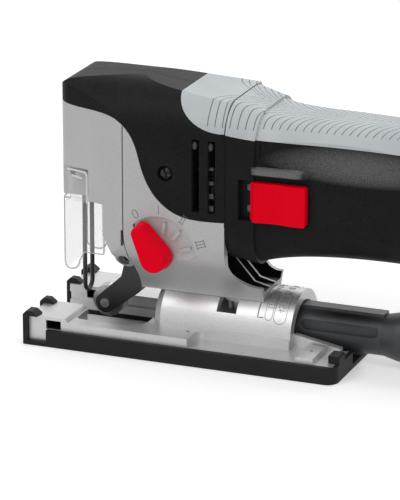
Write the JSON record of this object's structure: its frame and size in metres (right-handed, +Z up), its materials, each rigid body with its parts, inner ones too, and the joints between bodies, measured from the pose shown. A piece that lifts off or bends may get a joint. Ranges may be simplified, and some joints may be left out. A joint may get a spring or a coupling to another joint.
{
  "type": "jigsaw power tool",
  "caption": "Barrel-grip electric jigsaw with slide switch, orbital selector knob, roller blade guide, clear blade guard and tilting shoe.",
  "frame": {"origin": "centre of the bounding box on the floor that the shoe stands on", "axes": "+Z up, -X towards the blade end, -Y the side with the slide switch and the selector knob"},
  "size_m": [0.278, 0.08, 0.137],
  "materials": {
    "cast_alloy": "fine cast, satin",
    "silver_cover": "metallic satin",
    "black_plastic": "fine spark texture",
    "grey_grip": "matte soft grip",
    "red_plastic": "satin",
    "clear_plastic": "clear moulded",
    "dark_steel": "black oxide",
    "steel": "machined",
    "bronze": "sintered",
    "copper": "bare",
    "black_rubber": "matte"
  },
  "bodies": {
    "housing": {"gear_housing": "cast_alloy", "nose_cover": "silver_cover", "motor_cover_left": "black_plastic", "motor_cover_right": "black_plastic", "handle_left": "black_plastic", "handle_right": "black_plastic", "front_grip": "grey_grip", "rear_grip": "grey_grip", "housing_screws": "dark_steel", "clamp_saddle": "steel", "clamp_screw": "steel", "fork_pin": "dark_steel", "wire_guard": "dark_steel", "lower_guide": "bronze", "upper_guide": "bronze", "gear_shaft": "steel", "stator": "steel", "front_bearing": "steel", "rear_bearing": "steel", "brush_left": "dark_steel", "brush_right": "dark_steel", "switch_block": "black_plastic", "cord_inlet": "black_rubber"},
    "base": {"base_plate": "cast_alloy", "base_shoe": "black_plastic", "dust_tube": "black_plastic"},
    "fork": {"roller_fork": "dark_steel", "roller_pin": "steel"},
    "roller": {"guide_roller": "steel"},
    "guard": {"blade_guard": "clear_plastic"},
    "plunger": {"plunger": "steel", "yoke": "steel", "blade_clamp": "dark_steel"},
    "gear": {"drive_gear": "steel", "crank_pin": "steel"},
    "rotor": {"rotor_shaft": "steel", "armature": "steel", "commutator": "copper", "cooling_fan": "black_plastic"},
    "slider": {"switch_slider": "red_plastic", "switch_link": "black_plastic"},
    "knob": {"orbit_knob": "red_plastic", "selector_shaft": "steel"}
  },
  "joints": [
    {"name": "base_tilt", "type": "hinge", "parent": "housing", "child": "base", "pos_m": [0, 0, 0.012], "axis": [1, 0, 0], "range_deg": [-45, 45]},
    {"name": "fork_swing", "type": "hinge", "parent": "housing", "child": "fork", "pos_m": [-0.0903, 0, 0.0454], "axis": [0, 1, 0], "range_deg": [0, 5]},
    {"name": "roller_spin", "type": "hinge", "parent": "fork", "child": "roller", "pos_m": [-0.1079, 0, 0.0152], "axis": [0, 1, 0], "continuous": true},
    {"name": "guard_swing", "type": "hinge", "parent": "housing", "child": "guard", "pos_m": [-0.1213, 0, 0.085], "axis": [0, 1, 0], "range_deg": [0, 75]},
    {"name": "plunger_slide", "type": "slide", "parent": "housing", "child": "plunger", "axis": [0, 0, -1], "range_m": [0, 0.02]},
    {"name": "rotor_spin", "type": "hinge", "parent": "housing", "child": "rotor", "pos_m": [0, 0, 0.089], "axis": [1, 0, 0], "continuous": true},
    {"name": "gear_spin", "type": "hinge", "parent": "housing", "child": "gear", "pos_m": [0, 0, 0.109], "axis": [1, 0, 0], "continuous": true},
    {"name": "switch_slide", "type": "slide", "parent": "housing", "child": "slider", "axis": [-1, 0, 0], "range_m": [0, 0.006]},
    {"name": "knob_turn", "type": "hinge", "parent": "housing", "child": "knob", "pos_m": [-0.0695, -0.0295, 0.052], "axis": [0, 1, 0], "range_deg": [0, 102]}
  ],
  "couplings": [
    {"joint": "gear_spin", "follows": "rotor_spin", "ratio": -0.26316}
  ]
}
